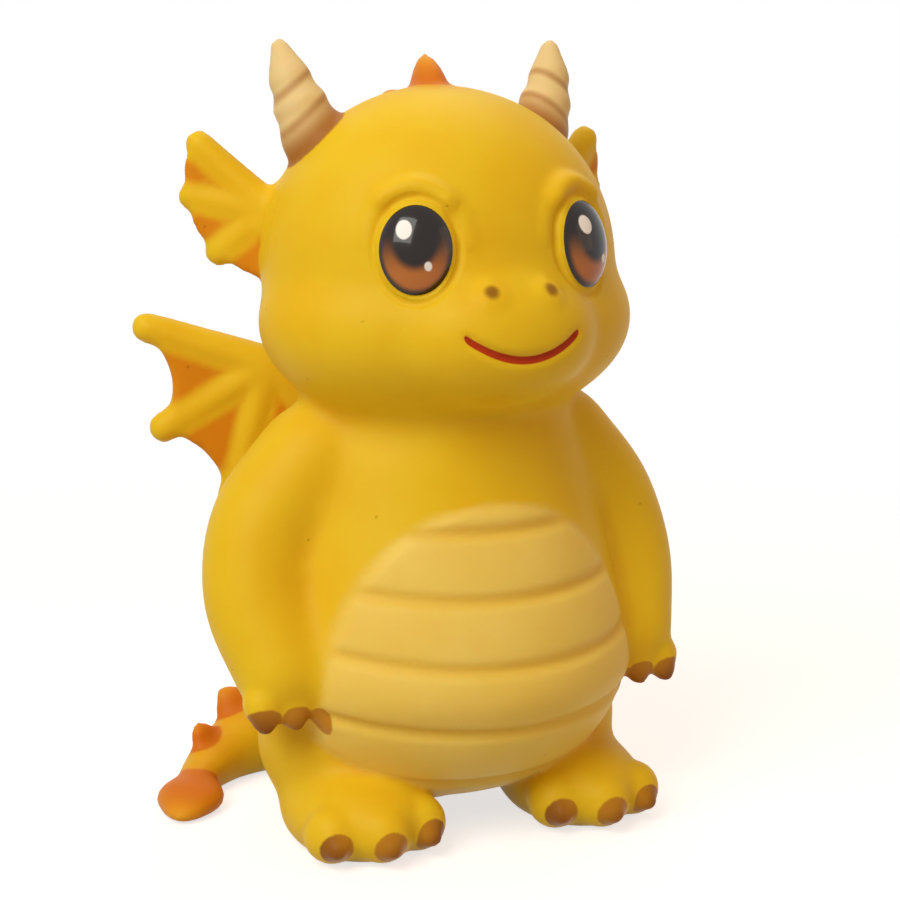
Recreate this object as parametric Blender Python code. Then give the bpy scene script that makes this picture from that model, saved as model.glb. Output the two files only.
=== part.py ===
"""A squeezable baby dragon, cast in one piece from slow-rising foam.

It faces -Y and stands on its two soles and the underside of its tail. Lengths are in metres and +Z is up.
The origin is on the ground, under the middle of the figure's box.
"""
import math

import bmesh
import bpy
from mathutils import Matrix, Vector
from mathutils.bvhtree import BVHTree

MM = 0.001
UP = Vector((0, 0, 1))
SIDES = (-1, 1)

# Torso: a round-bottomed pear
CROTCH_HEIGHT = 4 * MM
HIP_HEIGHT = 28 * MM
HIP_HALF_WIDTH = 28.5 * MM
HIP_HALF_DEPTH = 25 * MM
CHEST_HEIGHT = 51 * MM
CHEST_HALF_WIDTH = 25 * MM
CHEST_HALF_DEPTH = 20 * MM
THROAT_HALF_WIDTH = 21 * MM
BELLY_LEAN = 3 * MM

# Head: a round skull, a wide jaw and a short broad muzzle
SKULL_HEIGHT = 87 * MM
SKULL_HALF_WIDTH = 27.5 * MM
SKULL_HALF_DEPTH = 25 * MM
SKULL_HALF_HEIGHT = 26.5 * MM
JAW_HALF_WIDTH = 29.5 * MM
JAW_HALF_DEPTH = 23 * MM
JAW_HALF_HEIGHT = 16.5 * MM
JAW_DROP = 8.5 * MM
JAW_LEAN = 3 * MM
MUZZLE_HALF_WIDTH = 16 * MM
MUZZLE_HALF_DEPTH = 12 * MM
MUZZLE_HALF_HEIGHT = 11 * MM
MUZZLE_REACH = 19 * MM
MUZZLE_DROP = 9 * MM

# Face relief
EYE_HALF_WIDTH = 5.4 * MM
EYE_HALF_HEIGHT = 6.6 * MM
EYE_BULGE = 2.4 * MM
EYE_BALL_DEPTH = 3.6 * MM
EYE_RIM_WIDTH = 1.2 * MM
EYE_RIM_DEPTH = 0.7 * MM
EYE_TURN = math.radians(32)
EYE_RISE = math.radians(8)
BROW_RADIUS = 2 * MM
NOSE_BUMP_RADIUS = 2.6 * MM
NOSTRIL_SPREAD = 4.6 * MM
NOSTRIL_RADIUS = 1.3 * MM
NOSTRIL_DEPTH = 1.3 * MM
SMILE_DROP = 2.8 * MM
SMILE_HALF_WIDTH = 8.5 * MM
SMILE_LIFT = 3 * MM
SMILE_GROOVE_WIDTH = 1.3 * MM
SMILE_GROOVE_DEPTH = 0.9 * MM

# Arms, hanging beside the belly
SHOULDER_RADIUS = 9 * MM
ELBOW_RADIUS = 8 * MM
HAND_RADIUS = 7 * MM
ARM_DROP = 30 * MM
ARM_CLEAR_OF_HIP = 2.5 * MM
HAND_LEAN = 8 * MM
FINGER_RADIUS = 3.2 * MM

# Legs and feet; what stands on the ground is flattened by the same squash
THIGH_RADIUS = 13 * MM
FOOT_SPREAD = 18.5 * MM
FOOT_HALF_WIDTH = 11 * MM
FOOT_HALF_LENGTH = 14.5 * MM
FOOT_HALF_HEIGHT = 7.5 * MM
FOOT_LEAN = 9 * MM
SOLE_SQUASH = 2.4 * MM
TOE_RADIUS = 4.4 * MM
CLAW_RADIUS = 2.1 * MM
CLAW_LENGTH = 2.4 * MM

# Tail, curled round to the right foot
TAIL_ROOT_RADIUS = 12 * MM
TAIL_TIP_RADIUS = 2.8 * MM
TAIL_SIDE_REACH = 37 * MM
TAIL_BACK_REACH = 8 * MM
TAIL_SQUASH = 0.8 * MM
TAIL_SPADE_LENGTH = 7.5 * MM
TAIL_SPADE_HALF_WIDTH = 5.4 * MM

# Horns, ear fins, crest and wings; claws, plates and the tail's leaf all narrow by the same share
HORN_SPREAD = 11.5 * MM
HORN_RADIUS = 5 * MM
HORN_LENGTH = 14.5 * MM
EAR_SPAN = 13.5 * MM
EAR_THICKNESS = 3.6 * MM
PLATE_HEIGHT = 7 * MM
PLATE_LENGTH = 12 * MM
PLATE_THICKNESS = 7 * MM
WING_SPREAD = 10 * MM
WING_SPAN = 31 * MM
WING_THICKNESS = 4 * MM
TIP_TAPER = 0.35

# Belly: a raised tongue-shaped panel crossed by shallow folds
PANEL_HALF_WIDTH = 29 * MM
PANEL_TAPER = 0.25
PANEL_SQUARENESS = 2.3
PANEL_BELOW_CHIN = 10.5 * MM
PANEL_RISE = 0.6 * MM
PANEL_EDGE_WIDTH = 2 * MM
LIMB_STEP = 1 * MM
FOLD_PITCH = 9.5 * MM
FOLD_WIDTH = 1.7 * MM
FOLD_DEPTH = 0.8 * MM
FOLD_SAG = 3 * MM

# Mesh: large cells blend the big forms softly, small cells keep the small ones
CORE_CELL = 1.5 * MM
CORE_PASSES = 10
SKIN_CELL = 1.0 * MM
SKIN_PASSES = 3
MOST_TRIANGLES = 9000

FOAM_YELLOW = (0.84, 0.51, 0.04, 1)
FOAM_ROUGHNESS = 0.5

MUZZLE = Vector((0, -MUZZLE_REACH, SKULL_HEIGHT - MUZZLE_DROP))
THROAT_HEIGHT = SKULL_HEIGHT - 0.9 * SKULL_HALF_HEIGHT
PANEL_LOW = 0.8 * CROTCH_HEIGHT
PANEL_HIGH = THROAT_HEIGHT - PANEL_BELOW_CHIN


def smooth_run(stations, steps):
    """Points of a Catmull-Rom curve through stations, which are vectors of any one size."""
    knots = [Vector(station) for station in stations]
    knots = [2 * knots[0] - knots[1], *knots, 2 * knots[-1] - knots[-2]]
    run = []
    for before, start, end, after in zip(knots, knots[1:], knots[2:], knots[3:]):
        for step in range(steps):
            t = step / steps
            bend = 2 * before - 5 * start + 4 * end - after
            twist = 3 * start - before - 3 * end + after
            run.append(0.5 * (2 * start + (end - before) * t + bend * t**2 + twist * t**3))
    return [*run, knots[-2]]


def turned_to(outward, upward):
    """A rotation whose Z axis is outward and whose Y axis is as near to upward as it can be."""
    z = Vector(outward).normalized()
    x = Vector(upward).cross(z).normalized()
    return Matrix((x, z.cross(x), z)).transposed()


def add_ball(form, centre, radii, turn=Matrix.Identity(3)):
    """An ellipsoid whose own axes are turned by a rotation."""
    place = Matrix.Translation(centre) @ turn.to_4x4() @ Matrix.Diagonal((*radii, 1.0))
    return bmesh.ops.create_icosphere(form, subdivisions=4, radius=1.0, matrix=place)["verts"]


def add_tooth(form, root, radii, turn, bend=0.0):
    """An ellipsoid that narrows towards the outer end of its Z axis, and bends there along its Y axis."""
    for vertex in add_ball(form, root, radii, turn):
        ahead = (vertex.co - root).dot(turn.col[2])
        share = max(ahead / radii[2], 0)
        middle = root + turn.col[2] * ahead
        vertex.co = middle + (vertex.co - middle) * (1 - TIP_TAPER * share) + turn.col[1] * bend * share**2


def add_skin(form, rings, sides=32):
    """A closed skin over a run of rings, each a matrix that places a unit circle."""
    loops = []
    for ring in rings:
        circle = bmesh.ops.create_circle(form, segments=sides, radius=1.0, matrix=ring)["verts"]
        loops.append(list({edge for vertex in circle for edge in vertex.link_edges}))
    for near, far in zip(loops, loops[1:]):
        bmesh.ops.bridge_loops(form, edges=near + far)
    for end in (loops[0], loops[-1]):
        bmesh.ops.edgenet_fill(form, edges=end)


def add_limb(form, stations, steps=6):
    """A round-ended limb along a curve; each station is its x, y, z and radius."""
    run = smooth_run(stations, steps)
    points = [station.to_3d() for station in run]
    rings = []
    for i, (point, station) in enumerate(zip(points, run)):
        along = points[min(i + 1, len(points) - 1)] - points[max(i - 1, 0)]
        turn = along.to_track_quat("Z", "Y").to_matrix().to_4x4()
        rings.append(Matrix.Translation(point) @ turn @ Matrix.Diagonal((station[3], station[3], 1, 1)))
    add_skin(form, rings)
    for end in (run[0], run[-1]):
        add_ball(form, end.to_3d(), [end[3]] * 3)


def fused(form, name, cell, passes):
    """The mesh that a form's overlapping shapes make when they are grown into one skin and smoothed."""
    mesh = bpy.data.meshes.new(name)
    form.to_mesh(mesh)
    form.free()
    lump = bpy.data.objects.new(name, mesh)
    bpy.context.scene.collection.objects.link(lump)
    remesh = lump.modifiers.new("one skin", "REMESH")
    remesh.mode = "VOXEL"
    remesh.voxel_size = cell
    remesh.adaptivity = 0
    smooth = lump.modifiers.new("soft edges", "SMOOTH")
    smooth.factor = 0.5
    smooth.iterations = passes
    return baked(lump)


def baked(obj):
    """The object's mesh with its modifiers applied; the object itself is removed."""
    graph = bpy.context.evaluated_depsgraph_get()
    mesh = bpy.data.meshes.new_from_object(obj.evaluated_get(graph))
    bpy.data.objects.remove(obj)
    return mesh


def add_torso(form):
    """A bowl from the crotch to the hips, then a smooth line over the chest into the head."""
    stations = []
    for degrees in (25, 42, 58, 74):
        height = HIP_HEIGHT - (HIP_HEIGHT - CROTCH_HEIGHT) * math.cos(math.radians(degrees))
        swell = math.sin(math.radians(degrees))
        stations.append((height, HIP_HALF_WIDTH * swell, HIP_HALF_DEPTH * swell, -BELLY_LEAN * swell))
    throat_half_depth = THROAT_HALF_WIDTH * CHEST_HALF_DEPTH / CHEST_HALF_WIDTH
    stations += [
        (HIP_HEIGHT, HIP_HALF_WIDTH, HIP_HALF_DEPTH, -BELLY_LEAN),
        (CHEST_HEIGHT, CHEST_HALF_WIDTH, CHEST_HALF_DEPTH, 0),
        (THROAT_HEIGHT, THROAT_HALF_WIDTH, throat_half_depth, 0),
        (SKULL_HEIGHT, 0.5 * THROAT_HALF_WIDTH, 0.5 * throat_half_depth, 0),
    ]
    rings = []
    for height, half_width, half_depth, y in smooth_run(stations, 4):
        rings.append(Matrix.Translation((0, y, height)) @ Matrix.Diagonal((half_width, half_depth, 1, 1)))
    add_skin(form, rings, sides=48)


def add_head(form):
    add_ball(form, (0, 0, SKULL_HEIGHT), (SKULL_HALF_WIDTH, SKULL_HALF_DEPTH, SKULL_HALF_HEIGHT))
    jaw = (0, -JAW_LEAN, SKULL_HEIGHT - JAW_DROP)
    add_ball(form, jaw, (JAW_HALF_WIDTH, JAW_HALF_DEPTH, JAW_HALF_HEIGHT))
    add_ball(form, MUZZLE, (MUZZLE_HALF_WIDTH, MUZZLE_HALF_DEPTH, MUZZLE_HALF_HEIGHT))


def arm_stations(side):
    """Shoulder, upper arm, elbow and hand."""
    outside = side * (CHEST_HALF_WIDTH - 0.5 * SHOULDER_RADIUS)
    shoulder = Vector((outside, 0, CHEST_HEIGHT + 0.75 * SHOULDER_RADIUS))
    elbow = side * (HIP_HALF_WIDTH + ARM_CLEAR_OF_HIP)
    return (
        (*shoulder, SHOULDER_RADIUS),
        (0.93 * elbow, 0, shoulder.z - 0.32 * ARM_DROP, 0.5 * (SHOULDER_RADIUS + ELBOW_RADIUS)),
        (1.01 * elbow, -0.35 * HAND_LEAN, shoulder.z - 0.66 * ARM_DROP, ELBOW_RADIUS),
        (0.96 * elbow, -HAND_LEAN, shoulder.z - ARM_DROP, HAND_RADIUS),
    )


def foot_centre(side):
    return Vector((side * FOOT_SPREAD, -FOOT_LEAN, FOOT_HALF_HEIGHT - SOLE_SQUASH))


def add_limbs(form):
    for side in SIDES:
        add_limb(form, arm_stations(side))
        thigh = (side * 0.91 * FOOT_SPREAD, 0, 1.08 * THIGH_RADIUS)
        add_ball(form, thigh, [THIGH_RADIUS] * 3)
        add_ball(form, foot_centre(side), (FOOT_HALF_WIDTH, FOOT_HALF_LENGTH, FOOT_HALF_HEIGHT))


def tail_stations():
    """The tail leaves the back between the hips, lies on the ground and curls to the right."""
    behind = HIP_HALF_DEPTH - BELLY_LEAN
    route = (
        (0.0, behind - 0.5 * TAIL_ROOT_RADIUS, 1.0),
        (-0.13 * TAIL_SIDE_REACH, behind + 0.45 * TAIL_BACK_REACH, 0.72),
        (-0.4 * TAIL_SIDE_REACH, behind + TAIL_BACK_REACH, 0.48),
        (-0.68 * TAIL_SIDE_REACH, behind + 0.75 * TAIL_BACK_REACH, 0.28),
        (-0.89 * TAIL_SIDE_REACH, behind - 0.1 * TAIL_BACK_REACH, 0.1),
        (-TAIL_SIDE_REACH, behind - TAIL_BACK_REACH, 0.0),
    )
    radii = [TAIL_TIP_RADIUS + (TAIL_ROOT_RADIUS - TAIL_TIP_RADIUS) * share for *_, share in route]
    return [(x, y, radius - TAIL_SQUASH, radius) for (x, y, _), radius in zip(route, radii)]


def core_form():
    form = bmesh.new()
    add_torso(form)
    add_head(form)
    add_limbs(form)
    add_limb(form, tail_stations())
    return form


def surface_of(mesh):
    """A tree that finds where a line meets the skin."""
    form = bmesh.new()
    form.from_mesh(mesh)
    tree = BVHTree.FromBMesh(form)
    form.free()
    return tree


def met_from_outside(skin, through, outward):
    """The place where a line that comes in against outward, towards a point inside, meets the skin, and the
    skin's normal there.
    """
    far = 2 * SKULL_HEIGHT
    outward = Vector(outward).normalized()
    point, normal, _, _ = skin.ray_cast(Vector(through) + outward * far, -outward)
    return point, normal


def eye_seat(skin, side):
    outward = (side * math.sin(EYE_TURN), -math.cos(EYE_TURN), math.tan(EYE_RISE))
    return met_from_outside(skin, (0, 0, SKULL_HEIGHT), outward)


def nostril_seat(skin, side):
    return met_from_outside(skin, (side * NOSTRIL_SPREAD, MUZZLE.y, MUZZLE.z), (0, -0.8, 0.6))


def add_face(form, skin):
    """Domed eyes, brows over them and two bumps for the nostrils."""
    seen_share = math.sqrt(1 - (1 - EYE_BULGE / EYE_BALL_DEPTH) ** 2)
    for side in SIDES:
        seat, normal = eye_seat(skin, side)
        turn = turned_to(normal, UP)
        ball = (EYE_HALF_WIDTH / seen_share, EYE_HALF_HEIGHT / seen_share, EYE_BALL_DEPTH)
        add_ball(form, seat + normal * (EYE_BULGE - EYE_BALL_DEPTH), ball, turn)
        brow = []
        for swing, lift in ((-0.75, 1.02), (0, 1.34), (0.85, 1.14)):
            spot = seat + turn @ Vector((side * swing * EYE_HALF_WIDTH, lift * EYE_HALF_HEIGHT, 0))
            point, lean = met_from_outside(skin, spot - normal * SKULL_HALF_DEPTH / 2, normal)
            brow.append((*(point - lean * 0.4 * BROW_RADIUS), BROW_RADIUS))
        add_limb(form, brow)
        seat, normal = nostril_seat(skin, side)
        add_ball(form, seat - normal * 0.45 * NOSE_BUMP_RADIUS, [NOSE_BUMP_RADIUS] * 3)


def add_digit(form, tip, radius, pointing):
    """A stubby finger or toe and the small claw at its end."""
    pointing = Vector(pointing).normalized()
    add_ball(form, tip, [radius] * 3)
    claw = tip + pointing * 0.8 * radius
    add_tooth(form, claw, (CLAW_RADIUS, CLAW_RADIUS, CLAW_LENGTH), turned_to(pointing, UP))


def add_digits(form):
    """Three toes on each foot and three fingers on each hand."""
    for side in SIDES:
        foot = foot_centre(side)
        hand = Vector(arm_stations(side)[-1][:3])
        for spread in (-0.62, 0, 0.62):
            forward = (0.76 - 0.3 * abs(spread)) * FOOT_HALF_LENGTH
            toe = foot + Vector((spread * FOOT_HALF_WIDTH, -forward, -0.1 * TOE_RADIUS))
            add_digit(form, toe, TOE_RADIUS, (0.3 * spread, -1, -0.3))
            finger = hand + HAND_RADIUS * Vector((spread - 0.1 * side, -0.4, -0.55))
            add_digit(form, finger, FINGER_RADIUS, (0.2 * spread, -0.6, -0.9))


def add_horns(form, skin):
    """Two blunt horns, ringed twice."""
    profile = ((-0.3, 1.0), (0.06, 1.0), (0.26, 0.8), (0.35, 0.87), (0.55, 0.63), (0.64, 0.68), (0.96, 0.32))
    for side in SIDES:
        root, _ = met_from_outside(skin, (side * HORN_SPREAD, 0, SKULL_HEIGHT), (side * 0.38, 0.2, 1))
        lean = Vector((side * 0.3, 0.28, 1)).normalized()
        stations = []
        for share, swell in profile:
            bow = Vector((side * 0.14, -0.12, 0)) * HORN_LENGTH * share * (1 - share)
            stations.append((*(root + lean * HORN_LENGTH * share + bow), HORN_RADIUS * swell))
        add_limb(form, stations, steps=3)


def arc_between(start, end, sag, steps=6):
    """Points from start up to but without end, along a shallow arc that bows by sag to the right."""
    start, end = Vector(start), Vector(end)
    across = Vector((end.y - start.y, start.x - end.x)).normalized()
    return [start.lerp(end, i / steps) + across * sag * math.sin(math.pi * i / steps) for i in range(steps)]


def add_web(form, placed, thickness, roots, knuckle, tips, sag):
    """A thick scalloped web with a ridge along each finger. Its outline is in shares of its span."""
    root_high, root_low = roots
    outline = [*arc_between(root_high, knuckle, -0.4 * sag), *arc_between(knuckle, tips[0], -0.6 * sag)]
    for tip, following in zip(tips, [*tips[1:], root_low]):
        outline += arc_between(tip, following, sag)
    outline.append(Vector(root_low))
    under, over = (placed((0, 0), side * thickness / 2) for side in SIDES)
    face = form.faces.new([form.verts.new(placed(spot, -thickness / 2)) for spot in outline])
    grown = bmesh.ops.extrude_face_region(form, geom=[face])["geom"]
    raised = [part for part in grown if isinstance(part, bmesh.types.BMVert)]
    bmesh.ops.translate(form, vec=over - under, verts=raised)
    add_limb(form, [(*placed(root_high), 0.8 * thickness), (*placed(knuckle), 0.74 * thickness)])
    for tip in tips:
        add_limb(form, [(*placed(knuckle), 0.74 * thickness), (*placed(tip), 0.6 * thickness)])


def web_place(root, outward, upward, span):
    """A function that turns a spot on a web, in shares of its span, into a point of the figure."""
    outward = Vector(outward).normalized()
    turn = turned_to(outward.cross(upward), upward)

    def placed(spot, off=0.0):
        across, along = (share * span for share in spot)
        return root + outward * across + turn.col[1] * along + turn.col[2] * off

    return placed


def add_ear_fins(form, skin):
    """Small scalloped fins where ears would be."""
    for side in SIDES:
        through = (0, 0.28 * SKULL_HALF_DEPTH, SKULL_HEIGHT + 0.08 * SKULL_HALF_HEIGHT)
        root, normal = met_from_outside(skin, through, (side, 0.12, 0.12))
        placed = web_place(root - normal * 0.2 * EAR_SPAN, (side, 0.55, 0.3), UP, EAR_SPAN)
        add_web(form, placed, EAR_THICKNESS, roots=((-0.1, 0.42), (-0.1, -0.48)), knuckle=(0.12, 0.2),
                tips=((0.95, 0.72), (1.05, 0.12), (0.74, -0.42)), sag=-0.12)


def add_wings(form, skin):
    """Small bat wings on the shoulder blades."""
    for side in SIDES:
        through = (side * WING_SPREAD, 0, CHEST_HEIGHT + 0.4 * SHOULDER_RADIUS)
        root, _ = met_from_outside(skin, through, (0, 1, 0))
        placed = web_place(root, (side, 0.3, 0.2), UP, WING_SPAN)
        add_web(form, placed, WING_THICKNESS, roots=((-0.2, 0.06), (-0.2, -0.4)), knuckle=(0.36, 0.42),
                tips=((0.98, 0.5), (0.9, 0.0), (0.56, -0.34)), sag=0.09)


def add_plate(form, root, outward, along, size):
    """A rounded fin that stands on the skin and leans back a little; its foot is sunk in the skin."""
    radii = size * Vector((PLATE_THICKNESS / 2, PLATE_LENGTH / 2, PLATE_HEIGHT))
    add_tooth(form, root, radii, turned_to(outward, along), bend=0.18 * size * PLATE_HEIGHT)


def add_crest(form, skin):
    """Plates from the brow over the crown, down the back and out along the tail."""
    for degrees, size in ((8, 0.75), (37, 0.95), (66, 0.95), (94, 0.85)):
        angle = math.radians(degrees)
        outward = Vector((0, math.sin(angle), math.cos(angle)))
        root, normal = met_from_outside(skin, (0, 0, SKULL_HEIGHT), outward)
        add_plate(form, root, normal, (0, math.cos(angle), -math.sin(angle)), size)
    for share, size in ((0.88, 0.95), (0.68, 1.05), (0.47, 1.08), (0.27, 1.0)):
        root, normal = met_from_outside(skin, (0, 0, share * THROAT_HEIGHT), (0, 1, 0.12))
        add_plate(form, root, normal, -UP, size)
    run = [Vector(station[:3]) for station in tail_stations()]
    for near, share, size in ((0, 0.75, 0.86), (1, 0.85, 0.76), (2, 0.8, 0.64), (3, 0.7, 0.52)):
        start, end = run[near], run[near + 1]
        root, normal = met_from_outside(skin, start.lerp(end, share), (0, 0.5, 1))
        add_plate(form, root, normal, end - start, size)


def add_tail_spade(form):
    """A blunt leaf at the tip of the tail."""
    before, tip = (Vector(station[:3]) for station in tail_stations()[-2:])
    radii = (TAIL_SPADE_HALF_WIDTH, TAIL_TIP_RADIUS, TAIL_SPADE_LENGTH)
    add_tooth(form, tip, radii, turned_to(tip - before, UP))


def moulded_skin():
    """The core with everything small on it, fused into one skin."""
    core = fused(core_form(), "core", CORE_CELL, CORE_PASSES)
    skin = surface_of(core)
    form = bmesh.new()
    add_face(form, skin)
    add_digits(form)
    add_horns(form, skin)
    add_ear_fins(form, skin)
    add_wings(form, skin)
    add_crest(form, skin)
    add_tail_spade(form)
    bmesh.ops.recalc_face_normals(form, faces=form.faces)
    form.from_mesh(core)
    return fused(form, "skin", SKIN_CELL, SKIN_PASSES), skin


def ridge(distance, width):
    """1 at no distance, falling smoothly to 0 at width."""
    return 0.5 * (1 + math.cos(math.pi * min(abs(distance) / width, 1)))


def panel_half_width(z):
    """Half the belly panel's width at a height: round at both ends and narrower towards the chin."""
    share = min(max((z - PANEL_LOW) / (PANEL_HIGH - PANEL_LOW), 0), 1)
    roundness = (1 - abs(2 * share - 1) ** PANEL_SQUARENESS) ** (1 / PANEL_SQUARENESS)
    return PANEL_HALF_WIDTH * (1 - PANEL_TAPER * share) * roundness


def panel_edge(x, z):
    """How far inside the belly panel's outline a point of the front is, and negative outside it."""
    slope = (panel_half_width(z + MM) - panel_half_width(z - MM)) / (2 * MM)
    across = (panel_half_width(z) - abs(x)) / math.hypot(1, slope)
    return min(across, z - PANEL_LOW, PANEL_HIGH - z)


def bare_torso():
    """The torso alone, which tells where a leg or an arm leaves it."""
    form = bmesh.new()
    add_torso(form)
    bmesh.ops.recalc_face_normals(form, faces=form.faces)
    tree = BVHTree.FromBMesh(form)
    form.free()
    return tree


def stands_out_of(skin, place):
    """How far a place stands out of a skin, and negative inside it."""
    nearest, normal, _, distance = skin.find_nearest(place)
    return math.copysign(distance, (place - nearest).dot(normal))


def belly_relief(place, torso):
    """How far the belly stands out at a place on its front: the panel's rise less its folds. The panel also
    ends where a leg or an arm leaves the torso.
    """
    x, _, z = place
    off_edge = panel_edge(x, z) / PANEL_EDGE_WIDTH
    off_limb = 1 - stands_out_of(torso, place) / LIMB_STEP
    inside = min(max(min(off_edge, off_limb), 0), 1)
    level = z - CROTCH_HEIGHT + FOLD_SAG * (1 - (x / PANEL_HALF_WIDTH) ** 2)
    off_fold = abs((level + FOLD_PITCH / 2) % FOLD_PITCH - FOLD_PITCH / 2)
    return inside * (PANEL_RISE - FOLD_DEPTH * ridge(off_fold, FOLD_WIDTH))


def smile_relief(place):
    """The smile's groove across the front of the muzzle."""
    if place.y > MUZZLE.y:
        return 0.0
    line = MUZZLE.z - SMILE_DROP + SMILE_LIFT * (place.x / SMILE_HALF_WIDTH) ** 2
    past_end = max(abs(place.x) - SMILE_HALF_WIDTH, 0)
    end_fade = ridge(past_end, SMILE_GROOVE_WIDTH)
    return -SMILE_GROOVE_DEPTH * ridge(place.z - line, SMILE_GROOVE_WIDTH) * end_fade


def eye_rim_relief(place, seat, turn):
    """The groove that runs round one eye."""
    across, up, off = turn.transposed() @ (place - seat)
    if abs(off) > EYE_BALL_DEPTH:
        return 0.0
    share = math.hypot(across / EYE_HALF_WIDTH, up / EYE_HALF_HEIGHT)
    return -EYE_RIM_DEPTH * ridge((share - 1) * EYE_HALF_WIDTH, EYE_RIM_WIDTH)


def press_relief(form, core):
    """Presses the smile, the eyes' rims, the nostrils and the belly's panel and folds into the skin."""
    eyes = [(seat, turned_to(normal, UP)) for seat, normal in (eye_seat(core, side) for side in SIDES)]
    nostrils = [nostril_seat(core, side)[0] for side in SIDES]
    torso = bare_torso()
    moves = {}
    for vertex in form.verts:
        x, y, z = vertex.co
        move = smile_relief(vertex.co) + sum(eye_rim_relief(vertex.co, *eye) for eye in eyes)
        for nostril in nostrils:
            move -= NOSTRIL_DEPTH * ridge((vertex.co - nostril).length, NOSTRIL_RADIUS + NOSTRIL_DEPTH)
        on_belly = y < 0 and vertex.normal.y < -0.15 and z < THROAT_HEIGHT
        if on_belly and abs(x) < PANEL_HALF_WIDTH and core.find_nearest(vertex.co)[3] < SKIN_CELL:
            move += belly_relief(vertex.co, torso)
        moves[vertex] = vertex.normal * move
    for vertex, move in moves.items():
        vertex.co += move


def thinned(mesh):
    """The mesh with no more triangles than the part may have."""
    lump = bpy.data.objects.new("thinned", mesh)
    bpy.context.scene.collection.objects.link(lump)
    mesh.calc_loop_triangles()
    decimate = lump.modifiers.new("fewer faces", "DECIMATE")
    decimate.ratio = min(MOST_TRIANGLES / len(mesh.loop_triangles), 1)
    return baked(lump)


def cut_flat(form):
    """Cuts away what reaches under the ground, so that the soles and the tail's underside are flat."""
    everything = [*form.verts, *form.edges, *form.faces]
    cut = bmesh.ops.bisect_plane(form, geom=everything, plane_co=(0, 0, 0), plane_no=UP, clear_inner=True)
    rim = [part for part in cut["geom_cut"] if isinstance(part, bmesh.types.BMEdge)]
    bmesh.ops.holes_fill(form, edges=rim, sides=0)


def centre_over_ground(form):
    """Moves the figure so that the origin is under the middle of its box."""
    for axis in range(2):
        places = [vertex.co[axis] for vertex in form.verts]
        middle = (min(places) + max(places)) / 2
        for vertex in form.verts:
            vertex.co[axis] -= middle


def foam_material():
    material = bpy.data.materials.new("yellow foam")
    material.use_nodes = True
    surface = material.node_tree.nodes["Principled BSDF"]
    surface.inputs["Base Color"].default_value = FOAM_YELLOW
    surface.inputs["Roughness"].default_value = FOAM_ROUGHNESS
    return material


def main():
    for obj in list(bpy.data.objects):
        bpy.data.objects.remove(obj)
    mesh, core = moulded_skin()
    form = bmesh.new()
    form.from_mesh(mesh)
    form.normal_update()
    press_relief(form, core)
    form.to_mesh(mesh)
    form.free()
    mesh = thinned(mesh)
    form = bmesh.new()
    form.from_mesh(mesh)
    cut_flat(form)
    centre_over_ground(form)
    form.to_mesh(mesh)
    form.free()
    dragon = bpy.data.objects.new("foam_dragon", mesh)
    bpy.context.scene.collection.objects.link(dragon)
    mesh.materials.append(foam_material())
    mesh.shade_smooth()


main()
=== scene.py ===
"""A squeezable baby dragon, cast in one piece from slow-rising foam and painted with an airbrush.

It faces -Y on a pale table. Lengths are in metres and +Z is up.
"""
import math

import bmesh
import bpy
from mathutils import Matrix, Vector, noise
from mathutils.bvhtree import BVHTree


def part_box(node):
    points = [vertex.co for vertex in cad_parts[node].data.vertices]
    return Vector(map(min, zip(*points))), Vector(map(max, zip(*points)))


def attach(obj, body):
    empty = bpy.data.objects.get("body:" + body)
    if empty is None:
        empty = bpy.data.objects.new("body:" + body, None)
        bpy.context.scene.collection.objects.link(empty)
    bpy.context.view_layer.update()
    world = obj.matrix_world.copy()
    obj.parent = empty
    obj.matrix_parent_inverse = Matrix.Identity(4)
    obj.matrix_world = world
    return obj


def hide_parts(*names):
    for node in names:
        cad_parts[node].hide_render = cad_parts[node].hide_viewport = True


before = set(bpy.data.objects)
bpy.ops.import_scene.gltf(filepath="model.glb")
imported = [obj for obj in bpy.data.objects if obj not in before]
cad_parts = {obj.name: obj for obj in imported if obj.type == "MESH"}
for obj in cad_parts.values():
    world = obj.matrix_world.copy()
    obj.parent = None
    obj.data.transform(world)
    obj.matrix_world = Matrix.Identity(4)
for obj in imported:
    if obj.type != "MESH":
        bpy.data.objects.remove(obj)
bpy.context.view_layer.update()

# The body's big masses, poured as one lump of foam: a round-bottomed torso under a round head with a wide
# jaw and a short muzzle, arms that hang beside the belly, stubby legs and a tail that curls to the right.
# The voxel skin melts them together, as the soft corners of a silicone mould do.
MM = 0.001
UP = Vector((0, 0, 1))
SIDES = (-1, 1)
CROTCH_HEIGHT = 4 * MM
HIP_HEIGHT = 28 * MM
HIP_HALF_WIDTH = 28.5 * MM
HIP_HALF_DEPTH = 25 * MM
CHEST_HEIGHT = 51 * MM
CHEST_HALF_WIDTH = 25 * MM
CHEST_HALF_DEPTH = 20 * MM
THROAT_HALF_WIDTH = 21 * MM
BELLY_LEAN = 3 * MM
SKULL_HEIGHT = 87 * MM
SKULL_HALF_WIDTH = 27.5 * MM
SKULL_HALF_DEPTH = 25 * MM
SKULL_HALF_HEIGHT = 26.5 * MM
JAW_HALF_WIDTH = 29.5 * MM
JAW_HALF_DEPTH = 23 * MM
JAW_HALF_HEIGHT = 16.5 * MM
JAW_DROP = 8.5 * MM
JAW_LEAN = 3 * MM
MUZZLE_HALF_WIDTH = 16 * MM
MUZZLE_HALF_DEPTH = 12 * MM
MUZZLE_HALF_HEIGHT = 11 * MM
MUZZLE_REACH = 19 * MM
MUZZLE_DROP = 9 * MM
SHOULDER_RADIUS = 9 * MM
ELBOW_RADIUS = 8 * MM
HAND_RADIUS = 7 * MM
ARM_DROP = 30 * MM
ARM_CLEAR_OF_HIP = 2.5 * MM
HAND_LEAN = 8 * MM
THIGH_RADIUS = 13 * MM
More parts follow.
